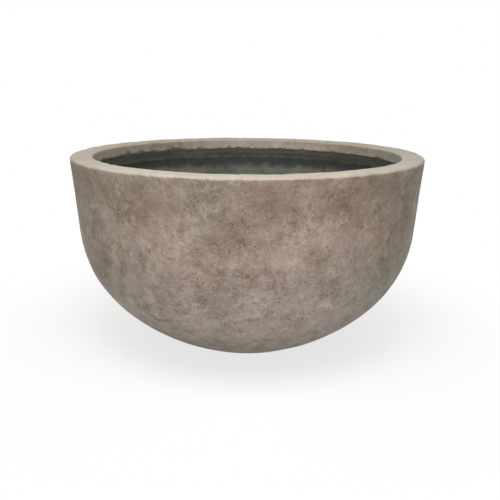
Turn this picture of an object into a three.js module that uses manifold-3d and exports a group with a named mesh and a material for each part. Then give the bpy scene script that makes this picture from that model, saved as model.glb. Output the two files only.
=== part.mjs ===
// Lightweight concrete bowl planter for the floor: a thin moulded concrete face over a glass-fibre
// laminate, a wide filled rim that overhangs the inside, a dark waterproof coat within, and a rubber
// bung in the drain hole. Millimetres, +Z up, origin on the ground at the middle of the foot.

import * as THREE from "three";
import { mergeVertices } from "three/addons/utils/BufferGeometryUtils.js";
import Module from "manifold-3d";

const wasm = await Module();
wasm.setup();

// ---------------------------------------------------------------- driving dimensions

// Outside of the bowl
const RIM_RADIUS = 250; // widest point, at the outer edge of the rim
const HEIGHT = 273; // ground to the top of the rim
const FOOT_RADIUS = 94; // outside of the flat ring it stands on
const WALL_LEAN = THREE.MathUtils.degToRad(4.5); // the upper wall opens outwards by this
const BELLY_RADIUS = 166; // curve that turns the wall in
const BELLY_SLOPE = THREE.MathUtils.degToRad(45); // steepness at which the belly hands over below
const FOOT_SLOPE = THREE.MathUtils.degToRad(22); // steepness at which the lower curve ends
const FOOT_FILLET = 20; // rounding between the lower curve and the ground

// Hollow under the foot, so that the bowl stands on a ring
const FOOT_RING_WIDTH = 23;
const RECESS_DEPTH = 3;
const RECESS_BLEND = 20; // both curves of its sloping edge

// Rim and the lip that hangs from its inner edge
const RIM_WIDTH = 31;
const RIM_EASE = 3.5; // rounding of the rim's two top edges
const LIP_DEPTH = 17; // height of the lip's inner face
const LIP_EASE = 2; // rounding of its lower edge
const UNDERCUT_SLOPE = THREE.MathUtils.degToRad(35); // trowelled slope below the rim

// Layers of the wall, from the outside in
const FACE_THICKNESS = 4;
const LAMINATE_THICKNESS = 7;
const COAT_THICKNESS = 1;
const COAT_SETBACK = 2.5; // the coat stops this far short of the lip's inner face
const BOND_LINE = 0.3; // between one layer and the next

// Drain hole, drilled through every layer
const DRAIN_RADIUS = 12;

// Rubber bung
const PLUG_CLEARANCE = 0.3; // rib to hole, and head to floor
const PLUG_HEAD_RADIUS = 19;
const PLUG_HEAD_THICKNESS = 4;
const PLUG_EASE = 1.2; // rounding of the head's edges and of the tip
const PLUG_SHANK_GAP = 1; // shank to hole, just under the head
const PLUG_TIP_GAP = 2; // shank to hole, at the tip
const PLUG_TIP_LIFT = 1; // tip to the underside of the bowl
const PLUG_RIBS = 2;
const PLUG_RIB_HEIGHT = 1.8;
const TAB_WIDTH = 16; // its top is a half circle of this width
const TAB_SIDE = 4; // straight sides, from the head to the half circle
const TAB_THICKNESS = 4;
const TAB_BEVEL = 1;
const TAB_ROOT = 2; // part of the tab that is moulded into the head

// Facets
const BOWL_SEGMENTS = 56;
const PLUG_SEGMENTS = 32;
const RECESS_STEPS = 2;
const FOOT_STEPS = 2;
const LOWER_STEPS = 3;
const BELLY_STEPS = 6;
const EASE_STEPS = 3;
const TAB_CURVE_STEPS = 8;

// ---------------------------------------------------------------- lines of the section

const point = (r, z) => new THREE.Vector2(r, z);
const LIP_RADIUS = RIM_RADIUS - RIM_WIDTH;
const WALL_SLOPE = Math.PI / 2 - WALL_LEAN;

// The leaning wall and the top meet at a corner that lies just outside its own rounding.
const CORNER_RADIUS = RIM_RADIUS + RIM_EASE * (Math.tan(WALL_LEAN) + 1 / Math.cos(WALL_LEAN) - 1);

// How far an arc reaches out and up while its slope goes from one angle to another.
const arcReach = (radius, from, to) => radius * (Math.sin(to) - Math.sin(from));
const arcRise = (radius, from, to) => radius * (Math.cos(from) - Math.cos(to));

// Radius of the flatter curve between the foot fillet and the belly. The foot, the belly and the
// leaning wall leave it one size that joins them all smoothly.
const LOWER_RADIUS = (() => {
  const rise =
    arcRise(FOOT_FILLET, 0, FOOT_SLOPE) + arcRise(BELLY_RADIUS, BELLY_SLOPE, WALL_SLOPE);
  const reach =
    arcReach(FOOT_FILLET, 0, FOOT_SLOPE) + arcReach(BELLY_RADIUS, BELLY_SLOPE, WALL_SLOPE);
  const lean = Math.tan(WALL_LEAN);
  const left = CORNER_RADIUS - FOOT_RADIUS - reach - (HEIGHT - rise) * lean;
  return left / (arcReach(1, FOOT_SLOPE, BELLY_SLOPE) - arcRise(1, FOOT_SLOPE, BELLY_SLOPE) * lean);
})();

// Outer curves from the ground up.
const CURVES = [
  { radius: FOOT_FILLET, to: FOOT_SLOPE, steps: FOOT_STEPS },
  { radius: LOWER_RADIUS, to: BELLY_SLOPE, steps: LOWER_STEPS },
  { radius: BELLY_RADIUS, to: WALL_SLOPE, steps: BELLY_STEPS },
];

// Stations along the outside of the bowl, from the drain hole to the top of the belly. Each has a
// place and a slope, so a layer further in is the same line moved square to itself.
function stations(recessDepth) {
  const line = [{ r: DRAIN_RADIUS, z: recessDepth, slope: 0 }];
  const arc = (radius, to, steps) => {
    const { r, z, slope: from } = line.at(-1);
    for (let i = 1; i <= steps; i++) {
      const slope = from + ((to - from) * i) / steps;
      line.push({
        r: r + arcReach(radius, from, slope),
        z: z + arcRise(radius, from, slope),
        slope,
      });
    }
  };
  if (recessDepth > 0) {
    const turn = Math.acos(1 - recessDepth / (2 * RECESS_BLEND));
    const flatRadius = FOOT_RADIUS - FOOT_RING_WIDTH - 2 * arcReach(RECESS_BLEND, 0, turn);
    line.push({ r: flatRadius, z: recessDepth, slope: 0 });
    arc(-RECESS_BLEND, -turn, RECESS_STEPS);
    arc(RECESS_BLEND, 0, RECESS_STEPS);
  }
  line.push({ r: FOOT_RADIUS, z: 0, slope: 0 });
  CURVES.forEach((c) => arc(c.radius, c.to, c.steps));
  return line;
}

// The line of the bowl at a depth below its outer surface, from the drain hole to the belly's top.
const inset = (depth, recessDepth) =>
  stations(recessDepth).map(({ r, z, slope }) =>
    point(r - depth * Math.sin(slope), z + depth * Math.cos(slope)),
  );

// A point of the straight upper wall, at a depth below its outer surface.
const wallAt = (depth, z) =>
  point(CORNER_RADIUS - (HEIGHT - z) * Math.tan(WALL_LEAN) - depth / Math.cos(WALL_LEAN), z);

// A point of the sloping underside of the rim, lowered square to itself by some distance.
const undersideAt = (r, below = 0) =>
  point(
    r,
    HEIGHT - LIP_DEPTH - (r - LIP_RADIUS) * Math.tan(UNDERCUT_SLOPE) - below / Math.cos(UNDERCUT_SLOPE),
  );

// Where that underside meets the wall at a depth.
function undersideMeetsWall(depth, below = 0) {
  const start = undersideAt(LIP_RADIUS, below);
  const wall = wallAt(depth, start.y);
  const run = (wall.x - start.x) / (1 + Math.tan(UNDERCUT_SLOPE) * Math.tan(WALL_LEAN));
  return undersideAt(LIP_RADIUS + run, below);
}

// A corner rounded to a radius, on a line that comes from one point and goes on to another.
function eased(from, corner, to, radius, steps = EASE_STEPS) {
  const back = from.clone().sub(corner).normalize();
  const on = to.clone().sub(corner).normalize();
  const half = Math.acos(back.dot(on)) / 2;
  const centre = back.clone().add(on).setLength(radius / Math.sin(half)).add(corner);
  const start = back.clone().multiplyScalar(radius / Math.tan(half)).add(corner).sub(centre);
  const turn = (Math.PI - 2 * half) * Math.sign(on.cross(back));
  return Array.from({ length: steps + 1 }, (_, i) =>
    start.clone().rotateAround(point(0, 0), (turn * i) / steps).add(centre),
  );
}

// ---------------------------------------------------------------- making meshes

// A section turned about the axis. The outline is closed and runs anticlockwise.
const turned = (outline, segments) =>
  new THREE.LatheGeometry([...outline, outline[0]], segments);

function named(name, geometry, color, roughness) {
  const mesh = new THREE.Mesh(geometry, new THREE.MeshStandardMaterial({ color, roughness, metalness: 0 }));
  mesh.name = name;
  return mesh;
}

// A geometry as a solid that can be joined to others, and back.
function solidOf(geometry) {
  const bare = new THREE.BufferGeometry().setAttribute("position", geometry.getAttribute("position"));
  if (geometry.index) bare.setIndex(geometry.index);
  const merged = mergeVertices(bare, 1e-3);
  return new wasm.Manifold(
    new wasm.Mesh({
      numProp: 3,
      vertProperties: merged.getAttribute("position").array,
      triVerts: new Uint32Array(merged.index.array),
    }),
  );
}

function geometryOf(solid) {
  const { vertProperties, triVerts } = solid.getMesh();
  const geometry = new THREE.BufferGeometry();
  geometry.setAttribute("position", new THREE.BufferAttribute(vertProperties, 3));
  geometry.setIndex(new THREE.BufferAttribute(triVerts, 1));
  geometry.computeVertexNormals();
  return geometry;
}

// Turns three.js's lathe axis, +Y, up to +Z.
const upright = (geometry) => geometry.rotateX(Math.PI / 2);

// ---------------------------------------------------------------- layers of the bowl

const LAMINATE_DEPTH = FACE_THICKNESS + BOND_LINE;
const INSIDE_DEPTH = LAMINATE_DEPTH + LAMINATE_THICKNESS; // bare inside of the laminate
const COAT_DEPTH = INSIDE_DEPTH + BOND_LINE;
const CORE_TOP = HEIGHT - FACE_THICKNESS - BOND_LINE;
const LIP_BACK_RADIUS = LIP_RADIUS + FACE_THICKNESS;
const FLOOR = COAT_DEPTH + COAT_THICKNESS; // height of the finished floor inside

// Everything that is seen from outside: the bowl's skin, the rim and the lip's inner face.
function faceShell() {
  const outside = inset(0, RECESS_DEPTH);
  const rimOuter = point(CORNER_RADIUS, HEIGHT);
  const rimInner = point(LIP_RADIUS, HEIGHT);
  const lipFoot = undersideAt(LIP_RADIUS);
  const lipBack = undersideAt(LIP_BACK_RADIUS);
  return [
    ...outside,
    ...eased(outside.at(-1), rimOuter, rimInner, RIM_EASE),
    ...eased(rimOuter, rimInner, lipFoot, RIM_EASE),
    ...eased(rimInner, lipFoot, lipBack, LIP_EASE),
    lipBack,
    point(LIP_BACK_RADIUS, HEIGHT - FACE_THICKNESS),
    wallAt(FACE_THICKNESS, HEIGHT - FACE_THICKNESS),
    ...inset(FACE_THICKNESS, RECESS_DEPTH).reverse(),
  ];
}

// Glass-fibre laminate behind the face. It levels the floor over the hollow under the foot.
const fibreLaminate = () => [
  ...inset(LAMINATE_DEPTH, RECESS_DEPTH),
  wallAt(LAMINATE_DEPTH, CORE_TOP),
  wallAt(INSIDE_DEPTH, CORE_TOP),
  ...inset(INSIDE_DEPTH, 0).reverse(),
];

// Mortar ring that fills the rim between the lip and the laminate.
const rimCore = () => [
  undersideAt(LIP_BACK_RADIUS + BOND_LINE),
  undersideMeetsWall(COAT_DEPTH),
  wallAt(COAT_DEPTH, CORE_TOP),
  point(LIP_BACK_RADIUS + BOND_LINE, CORE_TOP),
];

// Waterproof coat over the whole inside, up the wall and out under the rim to the lip.
const sealCoat = () => [
  ...inset(COAT_DEPTH, 0),
  undersideMeetsWall(COAT_DEPTH, BOND_LINE),
  undersideAt(LIP_RADIUS + COAT_SETBACK, BOND_LINE),
  undersideAt(LIP_RADIUS + COAT_SETBACK, BOND_LINE + COAT_THICKNESS),
  undersideMeetsWall(FLOOR, BOND_LINE + COAT_THICKNESS),
  ...inset(FLOOR, 0).reverse(),
];

// ---------------------------------------------------------------- bung

// Head and tapered shank with barbed ribs, about the axis, with the underside of the head at zero.
function plugBody(shankLength) {
  const shankTop = DRAIN_RADIUS - PLUG_SHANK_GAP;
  const shankTip = DRAIN_RADIUS - PLUG_TIP_GAP;
  const ribRadius = DRAIN_RADIUS - PLUG_CLEARANCE;
  const shankAt = (z) => shankTop + ((shankTip - shankTop) * -z) / shankLength;
  const ribs = Array.from({ length: PLUG_RIBS }, (_, i) => {
    const foot = -(shankLength * (PLUG_RIBS - i)) / (PLUG_RIBS + 1) - PLUG_RIB_HEIGHT / 2;
    const top = foot + PLUG_RIB_HEIGHT;
    return [point(shankAt(foot), foot), point(ribRadius, top), point(shankAt(top), top)];
  });
  const tip = point(shankTip, -shankLength);
  const headFoot = point(PLUG_HEAD_RADIUS, 0);
  const headTop = point(PLUG_HEAD_RADIUS, PLUG_HEAD_THICKNESS);
  const axisTop = point(0, PLUG_HEAD_THICKNESS);
  const axisTip = point(0, -shankLength);
  return [
    axisTip,
    ...eased(axisTip, tip, ribs[0][0], PLUG_EASE, 2),
    ...ribs.flat(),
    point(shankTop, 0),
    ...eased(point(shankTop, 0), headFoot, headTop, PLUG_EASE, 2),
    ...eased(headFoot, headTop, axisTop, PLUG_EASE, 2),
    axisTop,
  ];
}

// Finger tab: an upright plate with a round top, rooted in the head.
function plugTab() {
  const half = TAB_WIDTH / 2 - TAB_BEVEL;
  const foot = TAB_BEVEL - TAB_ROOT;
  const outline = new THREE.Shape();
  outline.moveTo(-half, foot);
  outline.lineTo(half, foot);
  outline.absarc(0, TAB_SIDE, half, 0, Math.PI, false);
  const plate = new THREE.ExtrudeGeometry(outline, {
    depth: TAB_THICKNESS - 2 * TAB_BEVEL,
    bevelThickness: TAB_BEVEL,
    bevelSize: TAB_BEVEL,
    bevelSegments: 1,
    curveSegments: TAB_CURVE_STEPS,
  });
  return upright(plate.translate(0, PLUG_HEAD_THICKNESS, -(TAB_THICKNESS / 2 - TAB_BEVEL)));
}

function drainPlug() {
  const headHeight = FLOOR + PLUG_CLEARANCE;
  const shankLength = headHeight - RECESS_DEPTH - PLUG_TIP_LIFT;
  const body = upright(turned(plugBody(shankLength), PLUG_SEGMENTS));
  return geometryOf(solidOf(body).add(solidOf(plugTab()))).translate(0, 0, headHeight);
}

// ---------------------------------------------------------------- assembly

const layer = (outline) => upright(turned(outline, BOWL_SEGMENTS));

const planter = new THREE.Group();
planter.add(
  named("face_shell", layer(faceShell()), 0x97897a, 0.9),
  named("fibre_laminate", layer(fibreLaminate()), 0x8a867c, 0.95),
  named("rim_core", layer(rimCore()), 0xa09788, 0.95),
  named("seal_coat", layer(sealCoat()), 0x3f4240, 0.7),
  named("drain_plug", drainPlug(), 0x1c1c1b, 0.6),
);

export default planter;
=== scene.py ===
"""Concrete bowl planter: a thin moulded concrete bowl with a wide rim, a dark coated inside and a
rubber bung in its drain hole. Lengths are in metres, +Z is up and the bowl stands at the origin."""

import math

import bpy
import numpy as np
from mathutils import Matrix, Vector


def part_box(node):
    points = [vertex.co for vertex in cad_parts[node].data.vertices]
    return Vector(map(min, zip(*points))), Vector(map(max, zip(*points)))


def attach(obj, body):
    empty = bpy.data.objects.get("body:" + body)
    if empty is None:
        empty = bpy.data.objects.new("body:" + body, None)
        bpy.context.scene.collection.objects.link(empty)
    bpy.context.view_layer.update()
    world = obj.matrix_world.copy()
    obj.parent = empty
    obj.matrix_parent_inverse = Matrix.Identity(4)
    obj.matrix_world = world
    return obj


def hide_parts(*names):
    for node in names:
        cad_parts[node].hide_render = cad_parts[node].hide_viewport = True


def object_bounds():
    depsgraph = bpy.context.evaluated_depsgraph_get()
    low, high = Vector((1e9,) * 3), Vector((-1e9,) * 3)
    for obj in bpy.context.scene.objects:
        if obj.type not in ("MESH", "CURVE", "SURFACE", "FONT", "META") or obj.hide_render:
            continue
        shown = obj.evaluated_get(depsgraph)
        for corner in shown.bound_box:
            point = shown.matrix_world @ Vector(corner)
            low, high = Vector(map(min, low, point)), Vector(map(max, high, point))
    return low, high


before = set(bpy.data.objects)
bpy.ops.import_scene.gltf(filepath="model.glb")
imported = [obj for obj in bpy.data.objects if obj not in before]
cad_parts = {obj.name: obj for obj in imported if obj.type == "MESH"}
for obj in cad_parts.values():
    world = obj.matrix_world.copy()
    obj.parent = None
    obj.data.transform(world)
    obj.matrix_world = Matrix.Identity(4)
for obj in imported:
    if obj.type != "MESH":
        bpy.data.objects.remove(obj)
cad_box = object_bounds()

# ---------------------------------------------------------------------------------------- camera
# A plain studio shot from a little above the rim. The camera stands 3.6 rim radii from the axis,
# turned and rolled by a fraction of a degree, as a hand-levelled tripod is.

RIM_RADIUS = cad_box[1].x
HEIGHT = cad_box[1].z
FILM_WIDTH = 0.036
VIEW_WIDTH_AT_1 = 500 / 613.26  # width of the frame at a distance of 1
VIEW_DISTANCE = 3.6 * RIM_RADIUS
VIEW_RISE = 0.388 * RIM_RADIUS  # above the top of the rim
VIEW_DOWN = 0.26568
VIEW_RIGHT = 0.00522
VIEW_ROLL = 0.00775


def aimed(right, down, roll):
    """Rotation of a camera that looks along +Y, then turns right, tips down and rolls, in radians.
    Its columns are the camera's own right, its up, and the reverse of where it looks."""
    level = math.cos(down)
    ahead = np.array([math.sin(right) * level, math.cos(right) * level, -math.sin(down)])
    side = np.array([math.cos(right), -math.sin(right), 0.0])
    up = np.cross(side, ahead)
    rolled_side = math.cos(roll) * side + math.sin(roll) * up
    rolled_up = math.cos(roll) * up - math.sin(roll) * side
    return Matrix(np.column_stack([rolled_side, rolled_up, -ahead]).tolist())


camera = bpy.data.objects.new("camera", bpy.data.cameras.new("camera"))
camera.data.sensor_width = FILM_WIDTH * 1000
camera.data.lens = FILM_WIDTH * 1000 / VIEW_WIDTH_AT_1
camera.matrix_world = aimed(VIEW_RIGHT, VIEW_DOWN, VIEW_ROLL).to_4x4()
camera.location = (0, -VIEW_DISTANCE, HEIGHT + VIEW_RISE)
bpy.context.scene.collection.objects.link(camera)
bpy.context.scene.camera = camera

# ------------------------------------------------------------------------------------ face shell
# The concrete itself: about 4 mm of sanded cement cast against a mould, all over the outside,
# round the rim and down the lip. Air trapped at the mould leaves pinholes, and the wash that is
# rubbed into the dry face leaves it clouded.

FOOT_RADIUS = 0.094
WALL_LEAN = math.radians(4.5)
BELLY_RADIUS = 0.166
BELLY_SLOPE = math.radians(45)
FOOT_SLOPE = math.radians(22)
FOOT_FILLET = 0.020
FOOT_RING = 0.023
RECESS_DEPTH = 0.003
RECESS_BLEND = 0.020
RIM_WIDTH = 0.031
RIM_EASE = 0.0035
LIP_DEPTH = 0.017
LIP_EASE = 0.002
UNDERCUT_SLOPE = math.radians(35)
FACE_THICKNESS = 0.004
DRAIN_RADIUS = 0.012

ROUND_STEPS = 252  # columns of the bowl's surfaces
WALL_STEP = 0.0052  # rows of the outside
HIDDEN_STEP = 0.012
EASE_TURN = math.radians(15)  # most that one row turns in a rounding

WALL_SLOPE = math.pi / 2 - WALL_LEAN
LIP_RADIUS = RIM_RADIUS - RIM_WIDTH
CORNER_RADIUS = RIM_RADIUS + RIM_EASE * (math.tan(WALL_LEAN) + 1 / math.cos(WALL_LEAN) - 1)


def arc_reach(radius, start, end):
    """How far out an arc goes as its slope turns from start to end: radius (sin end - sin start)."""
    return radius * (math.sin(end) - math.sin(start))


def arc_rise(radius, start, end):
    """How far up an arc goes as its slope turns from start to end: radius (cos start - cos end)."""
    return radius * (math.cos(start) - math.cos(end))


curve_rise = arc_rise(FOOT_FILLET, 0, FOOT_SLOPE) + arc_rise(BELLY_RADIUS, BELLY_SLOPE, WALL_SLOPE)
curve_reach = arc_reach(FOOT_FILLET, 0, FOOT_SLOPE) + arc_reach(BELLY_RADIUS, BELLY_SLOPE, WALL_SLOPE)
lower_reach = arc_reach(1, FOOT_SLOPE, BELLY_SLOPE)
lower_rise = arc_rise(1, FOOT_SLOPE, BELLY_SLOPE)
wall_foot = CORNER_RADIUS - (HEIGHT - curve_rise) * math.tan(WALL_LEAN)  # with no lower curve
LOWER_RADIUS = (wall_foot - FOOT_RADIUS - curve_reach) / (lower_reach - lower_rise * math.tan(WALL_LEAN))
wall_rise = HEIGHT - curve_rise - LOWER_RADIUS * lower_rise
RIM_TURN = math.pi - WALL_SLOPE  # turn of the rim's outer edge
rim_outer_cut = RIM_EASE * math.tan(RIM_TURN / 2)  # straight length that the rounding takes away
LIP_TURN = math.pi / 2 - UNDERCUT_SLOPE
lip_cut = LIP_EASE * math.tan(LIP_TURN / 2)
RECESS_TURN = math.acos(1 - RECESS_DEPTH / (2 * RECESS_BLEND))
recess_flat = FOOT_RADIUS - FOOT_RING - 2 * arc_reach(RECESS_BLEND, 0, RECESS_TURN) - DRAIN_RADIUS


def section_line(start, heading, moves, step):
    """A line in the plane of radius and height, as complex numbers radius + i height, with its
    heading at each point. A move is a length and a turn. After the share t of a move of length L
    and turn T from p, heading h, the point is p + L t e^(ih), or on an arc
    p + L (e^(i(h + T t)) - e^(ih)) / (i T)."""
    points, headings = [np.array([complex(*start)])], [np.array([heading])]
    for length, turn in moves:
        parts = max(1, math.ceil(length / step), math.ceil(abs(turn) / EASE_TURN))
        t = np.arange(1, parts + 1) / parts
        here = points[-1][-1]
        if turn:
            run = length * (np.exp(1j * (heading + turn * t)) - np.exp(1j * heading)) / (1j * turn)
        else:
            run = length * t * np.exp(1j * heading)
        points.append(here + run)
        headings.append(heading + turn * t)
        heading += turn
    return np.concatenate(points), np.concatenate(headings)


def offset_line(points, headings, depth):
    """The same line moved square to itself, towards its left, by a depth."""
    return points + depth * 1j * np.exp(1j * headings)


def turned(points, columns):
    """Points of a section turned about the axis: row, column, xyz."""
    angle = 2 * np.pi * np.arange(columns) / columns
    radius, height = points.real[:, None], points.imag[:, None]
    return np.stack([radius * np.cos(angle), radius * np.sin(angle), height + 0 * angle], axis=-1)


def turned_normals(headings, columns):
    """Unit normals to the right of a section's headings, turned about the axis: row, column, xyz."""
    angle = 2 * np.pi * np.arange(columns) / columns
    out, up = np.sin(headings)[:, None], -np.cos(headings)[:, None]
    return np.stack([out * np.cos(angle), out * np.sin(angle), up + 0 * angle], axis=-1)


def waves(places, count, shortest, longest, seed):
    """A smooth random height at each place, about -1 to 1: the mean of plane cosine waves of random
    direction, phase and wavelength, scaled to a spread of a half."""
    chance = np.random.default_rng(seed)
    direction = chance.normal(size=(count, 3))
    direction /= np.linalg.norm(direction, axis=1)[:, None]
    length = shortest * (longest / shortest) ** chance.random(count)
    phase = 2 * np.pi * chance.random(count)
    field = np.cos(places @ (2 * np.pi * direction / length[:, None]).T + phase).sum(axis=-1)
    return np.clip(field / math.sqrt(2 * count), -1, 1)


def smooth_step(low, high, value):
    """0 below low, 1 above high, and 3 t^2 - 2 t^3 between."""
    t = np.clip((value - low) / (high - low), 0, 1)
    return t * t * (3 - 2 * t)


def ring_faces(rows, columns):
    """Quads of a surface that closes on itself both along its rows and round its columns."""
    row, column = np.meshgrid(np.arange(rows), np.arange(columns), indexing="ij")
    next_row, next_column = (row + 1) % rows, (column + 1) % columns
    corners = [(row, column), (row, next_column), (next_row, next_column), (next_row, column)]
    return np.stack([r * columns + c for r, c in corners], axis=-1)


def new_piece(name, places, faces, attributes=None):
    """A mesh object from places (point, xyz) and a list of face arrays, each face by corner,
    shaded smooth, with a float attribute on its points for each entry of attributes."""
    mesh = bpy.data.meshes.new(name)
    counts = np.concatenate([np.full(len(f), f.shape[1]) for f in faces])
    corners = np.concatenate([f.ravel() for f in faces])
    mesh.vertices.add(len(places))
    mesh.loops.add(len(corners))
    mesh.polygons.add(len(counts))
    mesh.vertices.foreach_set("co", places.astype(np.float32).ravel())
    mesh.loops.foreach_set("vertex_index", corners.astype(np.int32))
    mesh.polygons.foreach_set("loop_start", (np.cumsum(counts) - counts).astype(np.int32))
    mesh.polygons.foreach_set("use_smooth", np.ones(len(counts), bool))
    for key, values in (attributes or {}).items():
        mesh.attributes.new(key, "FLOAT", "POINT").data.foreach_set("value", values.astype(np.float32))
    mesh.update(calc_edges=True)
    mesh.validate()
    piece = bpy.data.objects.new(name, mesh)
    bpy.context.scene.collection.objects.link(piece)
    return piece


def shell_section():
    """The closed section of the face shell, in two lines: the one that shows, with its headings,
    which runs out along the underside, up the wall, over the rim and down the lip, and the one that
    runs back behind the face."""
    outside = [
        (recess_flat, 0),
        (RECESS_BLEND * RECESS_TURN, -RECESS_TURN),
        (RECESS_BLEND * RECESS_TURN, RECESS_TURN),
        (FOOT_RING, 0),
        (FOOT_FILLET * FOOT_SLOPE, FOOT_SLOPE),
        (LOWER_RADIUS * (BELLY_SLOPE - FOOT_SLOPE), BELLY_SLOPE - FOOT_SLOPE),
        (BELLY_RADIUS * (WALL_SLOPE - BELLY_SLOPE), WALL_SLOPE - BELLY_SLOPE),
        (wall_rise / math.cos(WALL_LEAN) - rim_outer_cut, 0),
    ]
    rim = [
        (RIM_EASE * RIM_TURN, RIM_TURN),
        (CORNER_RADIUS - LIP_RADIUS - rim_outer_cut - RIM_EASE, 0),
        (RIM_EASE * math.pi / 2, math.pi / 2),
        (LIP_DEPTH - RIM_EASE - lip_cut, 0),
        (LIP_EASE * LIP_TURN, LIP_TURN),
        (FACE_THICKNESS / math.cos(UNDERCUT_SLOPE) - lip_cut, 0),
    ]
    start = (DRAIN_RADIUS, RECESS_DEPTH)
    shown, shown_headings = section_line(start, 0, outside + rim, WALL_STEP)
    backed, backed_headings = section_line(start, 0, outside, HIDDEN_STEP)
    behind = offset_line(backed, backed_headings, FACE_THICKNESS)[::-1]
    corners = np.array([
        complex(LIP_RADIUS + FACE_THICKNESS, HEIGHT - FACE_THICKNESS),
        complex(CORNER_RADIUS - FACE_THICKNESS * (math.tan(WALL_LEAN) + 1 / math.cos(WALL_LEAN)),
                HEIGHT - FACE_THICKNESS),
    ])
    hidden = np.concatenate([corners, behind[1:]])
    return shown, shown_headings, hidden


SWELL = 0.00035  # the mould's own unevenness
SWELL_LENGTHS = (0.040, 0.200)
RIPPLE = 0.00012  # hand sanding
RIPPLE_LENGTHS = (0.012, 0.035)
FOOT_FADE = 0.012  # height over which the face becomes uneven above its flat foot
CHIP = 0.0006  # deepest chip of the rim's edges
CHIP_LENGTHS = (0.003, 0.022)
PIT_COUNT = 1600
PIT_CROWDING = 1.4  # how much the pinholes flock together
PIT_SMALLEST = 0.00048  # radius
PIT_SPREAD = 0.52  # of the logarithm of the radius
PIT_STRETCH = 0.55  # most that a pinhole is longer than round, as a share
PIT_SIDES = 8
PIT_RINGS = ((1.3, 0.0), (1.0, 0.06), (0.78, 0.5), (0.4, 0.85))  # share of the radius out, and down
PIT_DIMPLE = 0.2  # how far its bottom lies below the last ring, as a share of the radius


def shell_places():
    """Points of the face shell on a grid of rows and columns, the outward normals of the rows that
    show, how many rows those are, and how far each of their points lies on an edge of the rim. The
    points are only moved inward, so the bowl keeps its size: by SWELL (1 - wave) and RIPPLE
    (1 - wave), faded out at the foot, and by the chips at the edges of the rim."""
    shown, headings, hidden = shell_section()
    rows = len(shown)
    places = turned(np.concatenate([shown, hidden]), ROUND_STEPS)
    normals = turned_normals(headings, ROUND_STEPS)
    face = places[:rows]
    standing = smooth_step(0, FOOT_FADE, face[..., 2])
    swell, ripple = waves(face, 60, *SWELL_LENGTHS, 11), waves(face, 90, *RIPPLE_LENGTHS, 12)
    sunk = SWELL * (1 - swell) + RIPPLE * (1 - ripple)
    top = smooth_step(HEIGHT - 0.006, HEIGHT - 0.002, face[..., 2])
    turn_rate = np.abs(np.gradient(headings))
    edge = smooth_step(0.03, 0.12, turn_rate)[:, None] * top
    chips = CHIP * edge * smooth_step(0.25, 0.95, waves(face, 160, *CHIP_LENGTHS, 13))
    places[:rows] -= normals * (standing * sunk + chips)[..., None]
    return places, normals, rows, edge


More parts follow.
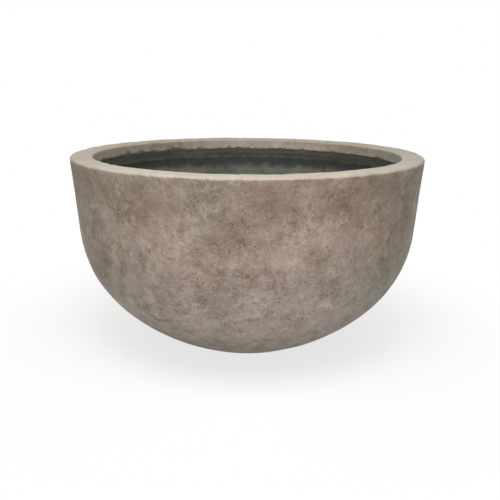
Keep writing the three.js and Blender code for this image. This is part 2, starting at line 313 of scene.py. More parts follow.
def pitted(places, normals, rows):
    """Cuts pinholes into a grid of places. A pinhole lies in one cell of the grid, whose quad gives
    way to a fan of triangles from its corners to a ring of points, and rings that go down from it.
    A point of a ring at the angle s lies at (cos s, sin s) + e cos(s - l) (cos l, sin l) radii, so
    the hole is longer by the share e along l. Returns the places, the faces, and how deep in a hole
    each place lies as a share."""
    chance = np.random.default_rng(5)
    face = places[:rows]
    across = np.linalg.norm(face - np.roll(face, -1, axis=1), axis=-1)
    along = np.linalg.norm(face[1:] - face[:-1], axis=-1)
    room = np.minimum(across[:-1], along)
    radius = PIT_SMALLEST * np.exp(PIT_SPREAD * np.abs(chance.normal(size=room.shape)))
    wanted = np.exp(PIT_CROWDING * waves(face[:-1], 40, 0.02, 0.12, 21)) * across[:-1] * along
    wanted *= smooth_step(0.002, 0.02, face[:-1, :, 2])
    wanted *= np.where(2 * radius * PIT_RINGS[0][0] * (1 + PIT_STRETCH) * 1.2 < room * 0.95, 1, 0)
    cells = chance.choice(wanted.size, PIT_COUNT, replace=False, p=(wanted / wanted.sum()).ravel())
    row, column = np.divmod(cells, ROUND_STEPS)
    radius, size = radius.ravel()[cells], (across[:-1].ravel()[cells], along.ravel()[cells])

    columns = places.shape[1]
    quads = ring_faces(len(places), columns)
    corner_ids = quads[row, column]
    keep = np.ones(quads.shape[:2], bool)
    keep[row, column] = False
    flat = places.reshape(-1, 3)
    corners = flat[corner_ids]

    reach = np.array([share for share, _ in PIT_RINGS])
    down = np.array([depth for _, depth in PIT_RINGS])
    sector = (np.arange(PIT_SIDES) - PIT_SIDES / 8) * 2 * np.pi / PIT_SIDES - np.pi / 2
    uneven = 1 + 0.16 * chance.normal(size=(PIT_COUNT, 1, PIT_SIDES)).clip(-1.2, 1.2)
    spread = radius[:, None, None] * reach[None, :, None] * uneven
    longer = PIT_STRETCH * chance.random((PIT_COUNT, 1, 1)) ** 2
    lie = np.pi * chance.random((PIT_COUNT, 1, 1))
    pull = longer * np.cos(sector - lie)
    place_across = 0.5 + spread * (np.cos(sector) + pull * np.cos(lie)) / size[0][:, None, None]
    place_along = 0.5 + spread * (np.sin(sector) + pull * np.sin(lie)) / size[1][:, None, None]
    a, b = place_across[..., None], place_along[..., None]
    c = corners[:, None, None]
    ring = (1 - a) * (1 - b) * c[..., 0, :] + a * (1 - b) * c[..., 1, :] + a * b * c[..., 2, :]
    ring = ring + (1 - a) * b * c[..., 3, :]
    inward = normals[row, column][:, None, None]
    depth = radius[:, None, None, None] * down[None, :, None, None]
    ring = ring - inward * depth
    floor = ring[:, -1].mean(axis=1) - normals[row, column] * radius[:, None] * PIT_DIMPLE

    first = len(flat)
    ring_ids = first + np.arange(ring[..., 0].size).reshape(PIT_COUNT, len(PIT_RINGS), PIT_SIDES)
    floor_ids = first + ring_ids.size + np.arange(PIT_COUNT)
    side = np.arange(PIT_SIDES)
    per_corner = PIT_SIDES // 4
    fan = []
    for k in range(4):
        here, there = corner_ids[:, k], corner_ids[:, (k + 1) % 4]
        rim = [ring_ids[:, 0, (k * per_corner + i) % PIT_SIDES] for i in range(per_corner + 1)]
        fan += [(here, rim[1], rim[0]), (here, there, rim[1]), (there, rim[2], rim[1])]
    triangles = [np.stack(t, axis=-1) for t in fan]
    walls = np.stack([
        ring_ids[:, :-1], ring_ids[:, :-1][..., (side + 1) % PIT_SIDES],
        ring_ids[:, 1:][..., (side + 1) % PIT_SIDES], ring_ids[:, 1:],
    ], axis=-1).reshape(-1, 4)
    floor_corners = np.repeat(floor_ids[:, None], PIT_SIDES, 1)
    bottoms = np.stack([
        ring_ids[:, -1], ring_ids[:, -1][:, (side + 1) % PIT_SIDES], floor_corners,
    ], axis=-1).reshape(-1, 3)
    in_rings = np.broadcast_to(smooth_step(0, 0.6, down)[None, :, None], ring_ids.shape)
    hollow = np.concatenate([np.zeros(first), in_rings.ravel(), np.ones(PIT_COUNT)])
    all_places = np.concatenate([flat, ring.reshape(-1, 3), floor])
    return all_places, [quads[keep], walls, *triangles, bottoms], hollow


grid, grid_normals, shown_rows, rim_edge = shell_places()
shell_points, shell_faces, hollow = pitted(grid, grid_normals, shown_rows)
worn = np.zeros(len(shell_points))
worn[: rim_edge.size] = rim_edge.ravel()
face_shell = new_piece("concrete_face", shell_points, shell_faces, {"hollow": hollow, "worn": worn})


class Value:
    """One output of a node. Sums, differences and products with numbers or other values add Math
    nodes to its graph."""

    def __init__(self, graph, socket):
        self.graph, self.socket = graph, socket

    def maths(self, operation, *values):
        return self.graph.node("Math", {"operation": operation}, dict(enumerate(values)))

    def __add__(self, other):
        return self.maths("ADD", self, other)

    def __sub__(self, other):
        return self.maths("SUBTRACT", self, other)

    def __rsub__(self, other):
        return self.maths("SUBTRACT", other, self)

    def __mul__(self, other):
        return self.maths("MULTIPLY", self, other)

    __radd__, __rmul__ = __add__, __mul__


class Graph:
    """A node tree. node() adds any node, and feed() sets or links one of its inputs."""

    def __init__(self, tree):
        self.tree = tree

    def node(self, kind, settings=None, inputs=None, output=0):
        """Adds a shader node, sets its settings, then its inputs by name or number, each to a number,
        a colour or a Value, and returns one of its outputs."""
        made = self.tree.nodes.new("ShaderNode" + kind)
        for key, value in (settings or {}).items():
            setattr(made, key, value)
        for key, value in (inputs or {}).items():
            self.feed(made.inputs[key], value)
        return Value(self, made.outputs[output])

    def feed(self, socket, value):
        if isinstance(value, Value):
            self.tree.links.new(value.socket, socket)
        else:
            socket.default_value = value


class Finish(Graph):
    """A node material, with the few nodes that repeat as methods."""

    def __init__(self, name):
        self.material = bpy.data.materials.new(name)
        self.material.use_nodes = True
        super().__init__(self.material.node_tree)
        self.shader = self.tree.nodes["Principled BSDF"]
        self.place = self.node("TexCoord", output="Object")

    def set(self, **inputs):
        """Feeds the shader's own sockets; an underscore in a name stands for a space."""
        for key, value in inputs.items():
            self.feed(self.shader.inputs[key.replace("_", " ")], value)

    def along(self, direction):
        """How far a place lies along a direction from the object's origin."""
        inputs = {0: self.place, 1: direction}
        return self.node("VectorMath", {"operation": "DOT_PRODUCT"}, inputs, "Value")

    def from_axis(self):
        """The distance from the axis of the bowl."""
        flat = self.node("VectorMath", {"operation": "MULTIPLY"}, {0: self.place, 1: (1, 1, 0)})
        return self.node("VectorMath", {"operation": "LENGTH"}, {0: flat}, "Value")

    def stretched(self, x, y, z):
        """Object coordinates with each axis scaled."""
        return self.node("Mapping", None, {"Vector": self.place, "Scale": (x, y, z)})

    def noise(self, size, detail=3.0, roughness=0.5, distortion=0.0, place=None, seed=0.0):
        """Clouds of that size in metres, from about -1 to 1."""
        inputs = {"Vector": place or self.place, "W": seed, "Scale": 1 / size, "Detail": detail,
                  "Roughness": roughness, "Distortion": distortion}
        return self.node("TexNoise", {"noise_dimensions": "4D"}, inputs, "Fac") * 4.0 - 2.0

    def above(self, value, low, high):
        """0 where value is below low, 1 above high, and smooth between."""
        return self.node("MapRange", {"interpolation_type": "SMOOTHSTEP"},
                         {"Value": value, "From Min": low, "From Max": high})

    def blend(self, factor, below, above):
        """The colour below where factor is 0 and the colour above where it is 1."""
        return self.node("Mix", {"data_type": "RGBA"}, {0: factor, 6: below, 7: above}, 2)

    def shaded(self, colour, factor):
        """A colour made lighter or darker by a factor."""
        return self.node("VectorMath", {"operation": "SCALE"}, {0: colour, "Scale": factor})

    def toned(self, colour, *layers):
        """A colour times 1 + the sum of amounts, each with its own share of red, green and blue."""
        factor = (1, 1, 1)
        for amount, shares in layers:
            layer = self.node("VectorMath", {"operation": "SCALE"}, {0: shares, "Scale": amount})
            factor = self.node("VectorMath", {"operation": "ADD"}, {0: factor, 1: layer})
        return self.node("VectorMath", {"operation": "MULTIPLY"}, {0: colour, 1: factor})

    def bumped(self, height):
        """A normal tilted by a height in metres."""
        return self.node("Bump", None, {"Strength": 1.0, "Distance": 1.0, "Height": height})


def tint(red, green, blue):
    """A colour as it shows on a screen, from 0 to 255, as linear light."""
    share = np.array([red, green, blue]) / 255
    light = np.where(share <= 0.04045, share / 12.92, ((share + 0.055) / 1.055) ** 2.4)
    return (*light.tolist(), 1.0)


BEIGE = tint(155, 137, 120)  # below the rim
SAND_PAINTED_UPLIGHT = tint(174, 155, 138)  # round the belly, paler partly as painted light from below
PALE_PAINTED_UPLIGHT = tint(173, 160, 146)  # under the belly, paler partly as painted light from below
GREY = tint(163, 153, 141)  # at the foot
ROSE = tint(176, 156, 149)
MOSS = tint(156, 149, 131)
CHALK = tint(199, 189, 171)
RIM_SAND = tint(196, 186, 168)
LIP_GREY = tint(166, 155, 140)
LIP_PAINTED_PALE = tint(190, 178, 162)  # the stretch of the lip that faces the front lamps, painted paler: painted light
# painted shade: the dark painted into the pinholes and the fine pores
PIT_PAINTED_SHADE = tint(46, 36, 28)
COAT_STAIN = tint(82, 72, 63)
EDGE_PAINTED_LIGHT = tint(212, 198, 180)  # the sloping foot of the lip, always in shade, painted this pale as painted light to lift that shade
BANDS_WITH_PAINTED_UPLIGHT = ((PALE_PAINTED_UPLIGHT, 0.04, 0.10), (SAND_PAINTED_UPLIGHT, 0.12, 0.19), (BEIGE, 0.195, 0.245))  # and where each comes in; the paler bands round and under the belly are partly the concrete's own tone and partly painted light from below
CLOUDS = ((0.046, 0.17), (0.105, 0.17), (0.024, 0.14))  # size and share of each, all soft
SMUDGES = ((0.012, 0.20), (0.006, 0.18), (0.0032, 0.18))  # these come and go over the face
GRAIN = ((0.0024, 0.12), (0.0015, 0.20))
DEPTH_OF_TONE = (0.88, 1.0, 1.16)  # darker patches are browner, paler ones chalkier
WARMER = (0.022, 0.0, -0.022)
PINKER = (0.012, -0.012, 0.012)
SHEEN = 0.12  # the rubbed wash leaves a dusty bloom that pales the face where it turns away
UP, RIGHT = (0, 0, 1), (1, 0, 0)
PAINTED_LIT_SIDE = (0.12, 0.99, 0)  # the back, which faces the front lamps: there the lip is painted paler as painted light, and the coat under the rim is thin and brown
LIP_FOOT = HEIGHT - LIP_DEPTH
FLANK_STARTS = 0.12  # from here out to either side the face drifts to moss

# Stretches of height or distance over which one finish gives way to the next.
RIM_PALES = (HEIGHT - 0.0042, HEIGHT - 0.0018)
LIP_BEGINS = (HEIGHT - 0.05, HEIGHT - 0.04)
LIP_SKIN = (LIP_RADIUS + 0.003, LIP_RADIUS + 0.005)
# The span over which the lip is painted lighter towards its foot: painted light where less light reaches
# the lip.
LIP_PAINTED_LIGHT_SPAN = (LIP_FOOT, HEIGHT - 0.003)
PAINTED_LIT_FROM = (0.158, 0.188)
STAIN_ENDS = (LIP_FOOT - 0.0014, LIP_FOOT + 0.0042)
EDGE_PAINTED_LIGHT_ENDS = (LIP_FOOT - 0.0016, LIP_FOOT + 0.0012)


def layered(finish, layers, distortion, seed):
    """The sum of clouds of several sizes, each times its share."""
    total = 0.0
    for number, (size, share) in enumerate(layers):
        total = finish.noise(size, 1, 0.5, distortion, seed=seed + number) * share + total
    return total


def concrete_finish():
    """Beige below the rim, paler round and under the belly, partly as painted light from below, and grey
    at the foot, with drifts of rose and moss. Over it lie clouds, smudges and grain from 100 mm down to
    1.5 mm across that only lighten and darken, then a paler rim, fine pores and pinholes darkened with
    painted shade, and the dark coat's ragged edge along the foot of the lip. The lip is painted lighter
    towards its foot and where it faces the front lamps, and the shaded slope below it is painted pale:
    all painted light."""
    finish = Finish("concrete_face")
    height, aside = finish.along(UP), finish.along(RIGHT)
    radius = finish.from_axis()
    hollow = finish.node("Attribute", {"attribute_name": "hollow"}, None, "Fac")
    worn = finish.node("Attribute", {"attribute_name": "worn"}, None, "Fac")

    band = height + finish.noise(0.15, 3, 0.5, 0.5, seed=42.0) * 0.035
    colour = GREY
    for shade, low, high in BANDS_WITH_PAINTED_UPLIGHT:
        colour = finish.blend(finish.above(band, low, high), colour, shade)
    rosy = finish.above(finish.noise(0.10, 2, 0.5, 0.4, seed=86.0), -0.5, 0.9)
    rosy = rosy * finish.above(height, 0.04, 0.10) * (1.0 - finish.above(height, 0.18, 0.25))
    colour = finish.blend(rosy * 0.6, colour, ROSE)
    flanks = finish.above(aside, FLANK_STARTS, RIM_RADIUS) * 2.8
    flanks = flanks + finish.above(0 - aside, FLANK_STARTS, RIM_RADIUS)
    mossy = finish.above(finish.noise(0.13, 2, 0.5, 0.4, seed=43.0) + flanks, 0.1, 1.2)
    colour = finish.blend(mossy * 0.55, colour, MOSS)

    patchy = finish.above(finish.noise(0.040, 3, 0.55, 0.8, seed=11.0), -0.7, 1.1) * 1.3 + 0.35
    mottle = finish.noise(0.013, 4, 0.62, 0.6, seed=41.0)
    veins = finish.noise(0.034, 6, 0.62, 1.6, seed=31.0)
    tone = layered(finish, CLOUDS, 0.9, 94.0) + layered(finish, SMUDGES, 0.4, 24.0) * patchy
    tone = tone + layered(finish, GRAIN, 0.0, 28.0)
    tone = tone + finish.above(veins, 0.2, 1.1) * 0.20 - finish.above(0 - veins, 0.2, 1.1) * 0.16

    ragged_rim = mottle * 0.0007 + finish.noise(0.035, 2, seed=45.0) * 0.0006
    rim = finish.above(height + ragged_rim, *RIM_PALES)
    lip_side = finish.above(height, *LIP_BEGINS)
    inside = (1.0 - finish.above(radius, *LIP_SKIN)) * lip_side
    ragged_ends = finish.noise(0.025, 3, 0.6, seed=55.0) * 0.008
    # Painted light: the stretch of the lip that faces the front lamps is painted paler.
    lit_stretch = finish.above(finish.along(PAINTED_LIT_SIDE) + ragged_ends, *PAINTED_LIT_FROM)
    # Painted light: the lip is painted lighter towards its foot, where less light reaches it.
    deep = 1.0 - finish.above(height, *LIP_PAINTED_LIGHT_SPAN)
    streaks = finish.noise(0.009, 4, 0.6, 0.3, finish.stretched(0.3, 0.3, 1), seed=56.0)
    lip = finish.blend(lit_stretch, LIP_GREY, LIP_PAINTED_PALE)
    lip = finish.shaded(lip, deep * 0.30 + streaks * 0.10 + 0.86)
    colour = finish.blend(inside * 0.9, colour, lip)
    rim_tone = finish.blend(finish.above(mottle, -1.0, 1.2), RIM_SAND, CHALK)
    colour = finish.blend(rim * 0.85, colour, rim_tone)
    colour = finish.blend(worn * 0.3, colour, CHALK)
    warm = finish.noise(0.022, 4, 0.6, 0.8, seed=61.0)
    pink = finish.noise(0.034, 4, 0.6, 0.8, seed=62.0)
    tone = tone * (1.0 - rim * 0.65) * (1.0 - inside * 0.35)
    colour = finish.toned(colour, (tone, DEPTH_OF_TONE), (warm, WARMER), (pink, PINKER))

    specks = finish.noise(0.0022, 1, 0.5, 0.6, seed=47.0)
    # Painted shade: the fine pores here and the pinholes below are darkened where shade falls in them.
    pores = finish.above(specks, 0.9, 1.3) * (1.0 - rim * 0.5)
    colour = finish.blend(pores * 0.5, colour, PIT_PAINTED_SHADE)
    colour = finish.blend(finish.above(0 - specks, 0.95, 1.3) * 0.35, colour, CHALK)
    colour = finish.blend(hollow * 0.9, colour, PIT_PAINTED_SHADE)

    ragged = finish.noise(0.012, 5, 0.68, 0.4, seed=51.0) * 0.0050
    ragged = ragged + finish.noise(0.040, 2, seed=52.0) * 0.0036
    # The coat's real ragged stain on the lip, and below the lip's foot the shaded slope painted pale:
    # painted light.
    stained_and_lit_foot = 1.0 - finish.above(height + ragged, *STAIN_ENDS)
    stain_and_lit_edge = finish.blend(finish.above(height, *EDGE_PAINTED_LIGHT_ENDS), EDGE_PAINTED_LIGHT, COAT_STAIN)
    colour = finish.blend(stained_and_lit_foot * inside * 0.9, colour, stain_and_lit_edge)

    relief = mottle * 0.00012 - pores * 0.0003 + finish.noise(0.0012, 2, 0.6, seed=43.0) * 0.00006
    finish.set(Base_Color=colour, Roughness=mottle * 0.03 + 0.86, Normal=finish.bumped(relief))
    finish.shader.inputs["Specular IOR Level"].default_value = 0.4
    finish.shader.inputs["Sheen Weight"].default_value = SHEEN
    finish.shader.inputs["Sheen Roughness"].default_value = 0.5
    return finish.material


face_shell.data.materials.append(concrete_finish())
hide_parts("face_shell")
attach(face_shell, "bowl")

# ----------------------------------------------------------------------- fibre laminate, rim core
# The load-bearing backing, chopped glass fibre in cement grout, and the mortar that fills the rim.
# Both are buried between the face and the coat, and show only as an edge round the drain hole.


def mortar_finish(name, pale, dark, fibre_share):
    """Grey grout, cloudy and gritty, crossed by fine pale fibres."""
    finish = Finish(name)
    clouds = finish.noise(0.020, 5, 0.6, 0.4)
    grit = finish.noise(0.0015, 3, 0.65)
    threads = finish.noise(0.004, 2, 0.5, 2.5, finish.stretched(1, 0.2, 1))
    fibres = finish.above(threads, 0.7, 0.95) * fibre_share
    colour = finish.blend(finish.above(clouds, -1.0, 1.0), dark, pale)
    colour = finish.blend(fibres, colour, CHALK)
    colour = finish.shaded(colour, 1.0 + grit * 0.09)
    relief = grit * 0.0002 + clouds * 0.0002 + fibres * 0.0001
    finish.set(Base_Color=colour, Roughness=0.92 + grit * 0.03, Normal=finish.bumped(relief))
    return finish.material


LAMINATE_PALE, LAMINATE_DARK = tint(150, 146, 137), tint(112, 108, 100)
MORTAR_PALE, MORTAR_DARK = tint(164, 156, 143), tint(126, 119, 108)

laminate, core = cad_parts["fibre_laminate"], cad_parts["rim_core"]
laminate.material_slots[0].material = mortar_finish("fibre_laminate", LAMINATE_PALE, LAMINATE_DARK, 0.5)
core.material_slots[0].material = mortar_finish("rim_mortar", MORTAR_PALE, MORTAR_DARK, 0.1)

# ------------------------------------------------------------------------------------- seal coat
# A charcoal waterproof coat, brushed over the whole inside and up under the rim. It is about a
# millimetre thick, with the brush's rings in it, runs where it sagged, and a dusty floor.

LAMINATE_THICKNESS = 0.007
BOND_LINE = 0.0003
COAT_THICKNESS = 0.001
COAT_SETBACK = 0.0025
COAT_FILLET = 0.009  # where the wall meets the underside of the rim
COAT_BACK_CLEARANCE = 0.00045  # the faceted layer behind it stays clear of the coat's back
COAT_STEP = 0.0048
COAT_FEATHER = 0.00045  # how much the coat thins out towards its edge under the rim
FEATHER_REACH = 0.008  # distance from that edge over which it thins
EDGE_FADE = 0.010  # distance from both edges over which its swell and brush marks fade
COAT_HEM = 0.0003  # last row before the edge
COAT_SWELL = 0.0004
BRUSH = 0.00012  # depth of the brush marks

coat_depth = FACE_THICKNESS + LAMINATE_THICKNESS + 2 * BOND_LINE + COAT_THICKNESS


def coat_line(depth, step):
    """The inside of the bowl at a depth below its outer face: out along the floor, up the wall, and
    round a fillet to the sloping underside of the rim, where it ends just short of the lip."""
    below_rim = (depth - coat_depth + BOND_LINE + COAT_THICKNESS) / math.cos(UNDERCUT_SLOPE)
    end_radius = LIP_RADIUS + COAT_SETBACK
    under_at_axis = HEIGHT - LIP_DEPTH - below_rim + LIP_RADIUS * math.tan(UNDERCUT_SLOPE)
    wall_at_axis = HEIGHT - (CORNER_RADIUS - depth / math.cos(WALL_LEAN)) / math.tan(WALL_LEAN)
    meeting = (under_at_axis - wall_at_axis) / (1 / math.tan(WALL_LEAN) + math.tan(UNDERCUT_SLOPE))
    turn = math.pi - UNDERCUT_SLOPE - WALL_SLOPE
    cut = COAT_FILLET * math.tan(turn / 2)
    belly = BELLY_RADIUS - depth
    wall_top = under_at_axis - meeting * math.tan(UNDERCUT_SLOPE)
    belly_top = HEIGHT - wall_rise + depth * math.sin(WALL_LEAN)
    moves = [
        (FOOT_RADIUS - DRAIN_RADIUS, 0),
        ((FOOT_FILLET - depth) * FOOT_SLOPE, FOOT_SLOPE),
        ((LOWER_RADIUS - depth) * (BELLY_SLOPE - FOOT_SLOPE), BELLY_SLOPE - FOOT_SLOPE),
        (belly * (WALL_SLOPE - BELLY_SLOPE), WALL_SLOPE - BELLY_SLOPE),
        ((wall_top - belly_top) / math.cos(WALL_LEAN) - cut, 0),
        (COAT_FILLET * turn, turn),
        ((meeting - end_radius) / math.cos(UNDERCUT_SLOPE) - cut - COAT_HEM, 0),
        (COAT_HEM, 0),
    ]
    return section_line((DRAIN_RADIUS, depth), 0, moves, step)


def coat_places():
    """The coat as a closed skin: its back, then its face, swollen and brushed by waves. The brush
    marks are waves whose height changes fast and whose place round the bowl changes slowly."""
    back, _ = coat_line(coat_depth - COAT_THICKNESS + COAT_BACK_CLEARANCE, HIDDEN_STEP)
    front, headings = coat_line(coat_depth, COAT_STEP)
    front, headings = front[::-1], headings[::-1] + np.pi
    places = turned(np.concatenate([back, front]), ROUND_STEPS)
    face = places[len(back):]
    marks = waves(face * (0.12, 0.12, 1), 60, 0.006, 0.020, 31)
    swell = waves(face, 60, 0.02, 0.09, 32)
    from_rim, from_drain = np.abs(front - front[0])[:, None], np.abs(front - front[-1])[:, None]
    fade = smooth_step(0, EDGE_FADE, np.minimum(from_rim, from_drain))
    thinned = COAT_FEATHER * (1 - smooth_step(0, FEATHER_REACH, from_rim + 0.002 * swell))
    raised = (COAT_SWELL * (swell + 0.6) + BRUSH * marks) * fade - thinned
    places[len(back):] += turned_normals(headings, ROUND_STEPS) * raised[..., None]
    return places


coat_grid = coat_places()
coat = new_piece("seal_coat_skin", coat_grid.reshape(-1, 3),
                 [ring_faces(*coat_grid.shape[:2]).reshape(-1, 4)])

CHARCOAL = tint(101, 103, 95)
SLATE = tint(140, 141, 131)
# the coat's dark runs, and the painted shade just below the rim
DARK_RUNS_AND_SHADE = tint(55, 55, 50)
DUST = tint(128, 126, 116)
RIM_BROWN_PAINTED_LIGHT = tint(198, 185, 172)  # thin coat over concrete, on the shaded underside of the rim, made paler as painted light to lift that shade
RIM_LOWER_PAINTED_LIGHT = tint(150, 143, 134)  # the same painted light, lower down in the corner under the rim
RIM_SLATE_PAINTED_LIGHT = tint(160, 163, 156)  # thicker coat there, made paler in the same way as painted light
UNDER_RIM = LIP_FOOT - 0.009  # about where the underside of the rim meets the wall

# Stretches of height or distance, as for the face.
PAINTED_SHADE_BEGINS = (UNDER_RIM - 0.0325, UNDER_RIM - 0.0165)
RIM_LIFT_BEGINS = (UNDER_RIM - 0.011, UNDER_RIM - 0.003)
RIM_LIFT_RISES = (UNDER_RIM - 0.005, UNDER_RIM + 0.003)
THIN_FROM = (0.150, 0.190)
HEM_SHADE_ENDS = (LIP_RADIUS + COAT_SETBACK, LIP_RADIUS + COAT_SETBACK + 0.003)
DUST_ENDS = (0.010, 0.045)


def coat_finish():
    """Charcoal, drifting to slate, painted paler on the shaded underside of the rim as painted light,
    brown there on one side, and darkest just below it and on its last row under the rim as painted
    shade, with rings left by the brush, dark runs and pale dust on the floor."""
    finish = Finish("seal_coat")
    height, radius = finish.along(UP), finish.from_axis()
    clouds = finish.noise(0.050, 4, 0.55, 0.5, seed=1.0)
    patches = finish.noise(0.018, 5, 0.62, 0.6, seed=2.0)
    rings = finish.noise(0.006, 3, 0.6, 0.2, finish.stretched(0.10, 0.10, 1), seed=3.0)
    runs = finish.noise(0.012, 4, 0.6, 0.3, finish.stretched(1, 1, 0.25), seed=4.0)
    grit = finish.noise(0.0018, 3, 0.6, seed=5.0)
    below = height + runs * 0.0035 + patches * 0.007
    # Painted shade: a darker band just below the rim, where the rim's shade falls.
    painted_shade_band = finish.above(below, *PAINTED_SHADE_BEGINS)
    colour = finish.blend(finish.above(clouds + rings * 0.3, -0.9, 1.1), CHARCOAL, SLATE)
    colour = finish.blend(painted_shade_band * 0.95, colour, DARK_RUNS_AND_SHADE)
    colour = finish.blend(finish.above(runs, 0.3, 1.1) * 0.55, colour, DARK_RUNS_AND_SHADE)
    # Painted light: the shaded underside of the rim is painted paler, most towards its top.
    under = finish.above(height + patches * 0.0016, *RIM_LIFT_BEGINS)
    rising = finish.above(height + clouds * 0.003, *RIM_LIFT_RISES)
    thin_coat_lifted = finish.blend(rising, RIM_LOWER_PAINTED_LIGHT, RIM_BROWN_PAINTED_LIGHT)
    rubbed = finish.above(finish.along(PAINTED_LIT_SIDE) + patches * 0.010, *THIN_FROM)
    colour = finish.blend(under * 0.9, colour, finish.blend(rubbed, RIM_SLATE_PAINTED_LIGHT, thin_coat_lifted))
    # Painted shade: the coat's last row under the rim is darkened, so that its edge shows no light.
    hem_shade = 1.0 - finish.above(radius, *HEM_SHADE_ENDS)
    hem_shade = hem_shade * finish.above(height, UNDER_RIM, UNDER_RIM + 0.001)
    colour = finish.blend(hem_shade * 0.45, colour, CHARCOAL)
    settled = (1.0 - finish.above(height, *DUST_ENDS)) * finish.above(patches + clouds, -0.8, 1.2)
    colour = finish.blend(settled * 0.5, colour, DUST)
    colour = finish.shaded(colour, rings * 0.08 + grit * 0.10 + patches * 0.22 + 1.0)
    relief = rings * 0.00012 + patches * 0.0001 + grit * 0.00006
    roughness = clouds * 0.06 + settled * 0.15 + 0.72
    finish.set(Base_Color=colour, Roughness=roughness, Normal=finish.bumped(relief))
    return finish.material


coat.data.materials.append(coat_finish())
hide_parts("seal_coat")
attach(coat, "bowl")

# ------------------------------------------------------------------------------------ drain plug
# A moulded black rubber bung. Its head lies on the floor over the hole, the tapered shank has two
# barbed ribs that grip the concrete, and a finger tab stands on the head to pull it out.

PLUG_SIDES = 96
PLUG_TURN = math.radians(18)  # most that one row turns in a rounding
PLUG_CLEARANCE = 0.0003
HEAD_RADIUS = 0.019
HEAD_THICKNESS = 0.004
HEAD_EASE = 0.0012
PLUG_EASE = 0.0003  # rounding of the ribs and of the ring in the head
RING_DEPTH = 0.0007
RING_OUTER = 0.0155
RING_INNER = 0.0127
RING_DRAFT = 0.0005  # how much each side of the ring leans in
SHANK_TOP = DRAIN_RADIUS - 0.001
SHANK_TIP = DRAIN_RADIUS - 0.002
RIB_RADIUS = DRAIN_RADIUS - PLUG_CLEARANCE
RIB_HEIGHT = 0.0018
RIB_COUNT = 2
TAB_WIDTH = 0.016
TAB_SIDE = 0.004
TAB_THICKNESS = 0.004
TAB_ROOT = 0.002  # how far it goes into the head
TAB_FLARE = 0.0016
TAB_SIDES = 64
TAB_ROWS = 34
GRIP_DEPTH = 0.00025
GRIP_PITCH = 0.0022

RUBBER = tint(40, 40, 39)
RUBBER_DUST = tint(108, 104, 97)

plug_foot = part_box("drain_plug")[0].z
head_foot = coat_depth + PLUG_CLEARANCE
head_top = head_foot + HEAD_THICKNESS


def rounded_run(corners, radii):
    """A line through corners in the plane of radius and height, each rounded by its own radius: the
    arc touches both sides at radius x tan(half the turn) from the corner."""
    run = [corners[0]]
    for before, corner, after, radius in zip(corners, corners[1:], corners[2:], radii):
        back = (before - corner) / abs(before - corner)
        on = (after - corner) / abs(after - corner)
        turn = np.angle(on / -back)
        if radius == 0 or abs(turn) < 1e-6:
            run.append(corner)
            continue
        start = corner + back * radius * math.tan(abs(turn) / 2)
        parts = max(2, math.ceil(abs(turn) / PLUG_TURN))
        t = np.arange(parts + 1) / parts * turn
        centre = start + (-back) * 1j * radius * np.sign(turn)
        run.extend(centre + (start - centre) * np.exp(1j * t))
    run.append(corners[-1])
    return np.array(run)


def plug_section():
    """Half the bung's section, from the tip's middle out, up the ribbed shank and over the head to
    the axis, with a shallow ring sunk in the head's top."""
    shank_length = head_foot - plug_foot

    def shank_at(depth):
        return SHANK_TOP + (SHANK_TIP - SHANK_TOP) * depth / shank_length

    corners, radii = [complex(0.0, plug_foot), complex(SHANK_TIP, plug_foot)], [HEAD_EASE]
    for rib in range(RIB_COUNT):
        foot = shank_length * (RIB_COUNT - rib) / (RIB_COUNT + 1) + RIB_HEIGHT / 2
        top = foot - RIB_HEIGHT
        corners += [complex(shank_at(foot), head_foot - foot), complex(RIB_RADIUS, head_foot - top),
                    complex(shank_at(top), head_foot - top)]
        radii += [PLUG_EASE, PLUG_EASE, 0.0002]
    ring = [(RING_OUTER, 0), (RING_OUTER - RING_DRAFT, RING_DEPTH),
            (RING_INNER + RING_DRAFT, RING_DEPTH), (RING_INNER, 0)]
    corners += [complex(SHANK_TOP, head_foot), complex(HEAD_RADIUS, head_foot)]
    corners += [complex(HEAD_RADIUS, head_top)]
    corners += [complex(radius, head_top - sunk) for radius, sunk in ring]
    corners += [complex(0.0, head_top)]
    radii += [PLUG_EASE, HEAD_EASE, HEAD_EASE] + [PLUG_EASE] * len(ring)
    return rounded_run(corners, radii)


def capped_solid(name, rings, bottom, top):
    """A closed solid from rings of points, row, column, xyz, with one point on the axis at the height
    bottom and one at the height top."""
    rows, sides = rings.shape[:2]
    quads = ring_faces(rows, sides)[:-1].reshape(-1, 4)
    poles = np.array([[0, 0, bottom], [0, 0, top]])
    side, following = np.arange(sides), (np.arange(sides) + 1) % sides
    bottom_id, top_id, last = rows * sides, rows * sides + 1, (rows - 1) * sides
    cap = np.stack([np.full(sides, bottom_id), following, side], axis=-1)
    lid = np.stack([np.full(sides, top_id), side + last, following + last], axis=-1)
    return new_piece(name, np.concatenate([rings.reshape(-1, 3), poles]), [quads, cap, lid])


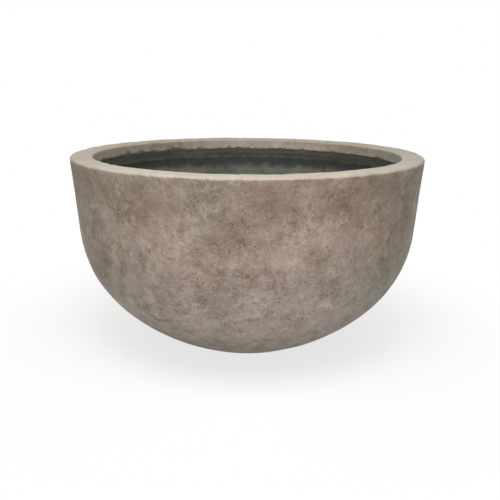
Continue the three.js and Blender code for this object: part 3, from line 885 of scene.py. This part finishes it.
def plug_tab():
    """The finger tab, lofted from flat superellipses |x/a|^3 + |y/b|^3 = 1. Its half width a follows
    the straight sides and the half circle above them, and both half sizes flare at the root."""
    total = TAB_SIDE + TAB_WIDTH / 2
    t = np.linspace(0, 1, TAB_ROWS)
    rise = -TAB_ROOT + (total + TAB_ROOT) * np.sin(t * np.pi / 2)
    over = np.clip((rise - TAB_SIDE) / (TAB_WIDTH / 2), 0, 1)
    half_width = TAB_WIDTH / 2 * np.sqrt(1 - over**2)
    half_thick = TAB_THICKNESS / 2 * (1 - over**6) ** 0.5
    flare = TAB_FLARE * (1 - smooth_step(-0.0004, 0.0022, rise)) ** 2
    angle = 2 * np.pi * np.arange(TAB_SIDES) / TAB_SIDES
    cos, sin = np.cos(angle), np.sin(angle)
    x_share, y_share = np.sign(cos) * np.abs(cos) ** (2 / 3), np.sign(sin) * np.abs(sin) ** (2 / 3)
    gripped = smooth_step(0.003, 0.004, rise) * (rise < 0.0095)
    grips = GRIP_DEPTH * np.cos(2 * np.pi * rise / GRIP_PITCH) * gripped
    x = (half_width + flare)[:, None] * x_share
    y = (half_thick + flare + grips)[:, None] * y_share
    places = np.stack([x, y, (head_top + rise)[:, None] + 0 * x], axis=-1)[:-1]
    return capped_solid("plug_tab", places, head_top + rise[0], head_top + rise[-1])


def joined(name, body, extra):
    """Two closed solids as one, with the parts inside each other taken away."""
    union = body.modifiers.new("join", "BOOLEAN")
    union.operation, union.solver, union.object = "UNION", "EXACT", extra
    bpy.context.view_layer.update()
    mesh = bpy.data.meshes.new_from_object(body.evaluated_get(bpy.context.evaluated_depsgraph_get()))
    mesh.name = name
    for spent in (body, extra):
        bpy.data.objects.remove(spent)
    piece = bpy.data.objects.new(name, mesh)
    bpy.context.scene.collection.objects.link(piece)
    return piece


def rubber_finish():
    """Black moulded rubber, a little greyed, with fine mould grain and dust that clings."""
    finish = Finish("bung_rubber")
    clouds = finish.noise(0.008, 4, 0.6)
    grain = finish.noise(0.0006, 2, 0.6)
    dust = finish.above(finish.noise(0.003, 5, 0.65, 0.4) + clouds * 0.4, 0.4, 1.8)
    colour = finish.blend(dust * 0.35, RUBBER, RUBBER_DUST)
    relief = grain * 0.00003 + clouds * 0.00004
    finish.set(Base_Color=finish.shaded(colour, 1.0 + grain * 0.08),
               Roughness=0.52 + clouds * 0.06 + dust * 0.2, Normal=finish.bumped(relief))
    return finish.material


plug_line = plug_section()
plug_body = capped_solid("plug_body", turned(plug_line[1:-1], PLUG_SIDES), plug_foot, head_top)
plug = joined("rubber_bung", plug_body, plug_tab())
plug.data.materials.append(rubber_finish())
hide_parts("drain_plug")
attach(plug, "plug")

# ---------------------------------------------------------------------------- floor, light, world
# A pale floor that fades into a white room, a soft light overhead, a broad one in front, and weaker
# ones at the sides and behind. The floor keeps the bowl's soft shadow.

FLOOR_HALF = 6.0
FLOOR_GREY = tint(214, 214, 212)
FLOOR_LIFT = 0.45  # added to the floor's own shading so that only the bowl's shadow is below white
SHADOW_SHARE = 0.5  # how much of that shading the eye sees near the bowl
SHADOW_REACH = 0.5  # how far from the axis it fades out
ROOM_LIGHT = 0.13
LAMP_TARGET = (0, 0, 0.14)


def seen_directly(graph):
    """1 for what the camera sees by itself, in a mirror or through glass, 0 for light in the room."""
    seen = graph.node("LightPath", output="Is Camera Ray")
    for ray in ("Is Glossy Ray", "Is Transmission Ray"):
        seen = seen.maths("MAXIMUM", seen, graph.node("LightPath", output=ray))
    return seen


def floor_finish():
    """Matt pale grey for the light of the room; for the eye, white with the bowl's shadow kept near
    it and fading out over the floor."""
    finish = Finish("floor")
    finish.set(Base_Color=FLOOR_GREY, Roughness=0.9)
    away = finish.node("VectorMath", {"operation": "LENGTH"}, {0: finish.place}, "Value")
    near = 1.0 - finish.above(away, SHADOW_REACH * 0.3, SHADOW_REACH)
    lift = finish.node("Emission", None, {"Strength": FLOOR_LIFT})
    unlifted = Value(finish, finish.shader.outputs[0])
    shaded = finish.node("AddShader", None, {0: unlifted, 1: lift})
    white = finish.node("Emission", None, {"Strength": 1.0})
    shown = finish.node("MixShader", None, {0: near * SHADOW_SHARE, 1: white, 2: shaded})
    seen = seen_directly(finish)
    mixed = finish.node("MixShader", None, {0: seen, 1: unlifted, 2: shown})
    finish.feed(finish.tree.nodes["Material Output"].inputs["Surface"], mixed)
    return finish.material


def flat_square(name, half):
    """A square on the ground round the origin, from its half width."""
    corners = np.array([(-half, -half, 0), (half, -half, 0), (half, half, 0), (-half, half, 0)])
    return new_piece(name, corners, [np.array([[0, 1, 2, 3]])])


def soft_light(name, power, width, depth, place):
    """An area lamp of that power in watts and size, at a place, turned to the bowl."""
    lamp = bpy.data.objects.new(name, bpy.data.lights.new(name, "AREA"))
    lamp.data.shape, lamp.data.size, lamp.data.size_y = "RECTANGLE", width, depth
    lamp.data.energy = power
    away = np.array(place, float) - np.array(LAMP_TARGET)
    back = away / np.linalg.norm(away)
    side = np.cross((0, 0, 1), back)
    side /= np.linalg.norm(side)
    lamp.matrix_world = Matrix(np.column_stack([side, np.cross(back, side), back]).tolist()).to_4x4()
    lamp.location = place
    bpy.context.scene.collection.objects.link(lamp)


floor = flat_square("floor", FLOOR_HALF)
floor.data.materials.append(floor_finish())

soft_light("overhead", 5.3, 0.5, 0.5, (-0.04, -0.46, 0.90))
soft_light("front", 11.8, 1.4, 0.7, (0.0, -2.2, 0.35))
soft_light("left", 3.8, 1.0, 1.0, (-2.2, 0.7, 0.9))
soft_light("right", 4.0, 1.0, 1.0, (2.2, 0.7, 0.9))
soft_light("back", 6.0, 1.4, 0.8, (0.0, 2.4, 0.6))

world = bpy.data.worlds.new("room")
world.use_nodes = True
bpy.context.scene.world = world
room = Graph(world.node_tree)
level = room.node("MapRange", None, {"Value": seen_directly(room), "To Min": ROOM_LIGHT, "To Max": 1.0})
room.feed(world.node_tree.nodes["Background"].inputs["Strength"], level)
world.node_tree.nodes["Background"].inputs["Color"].default_value = (1, 1, 1, 1)

bpy.context.scene.view_settings.view_transform = "Standard"
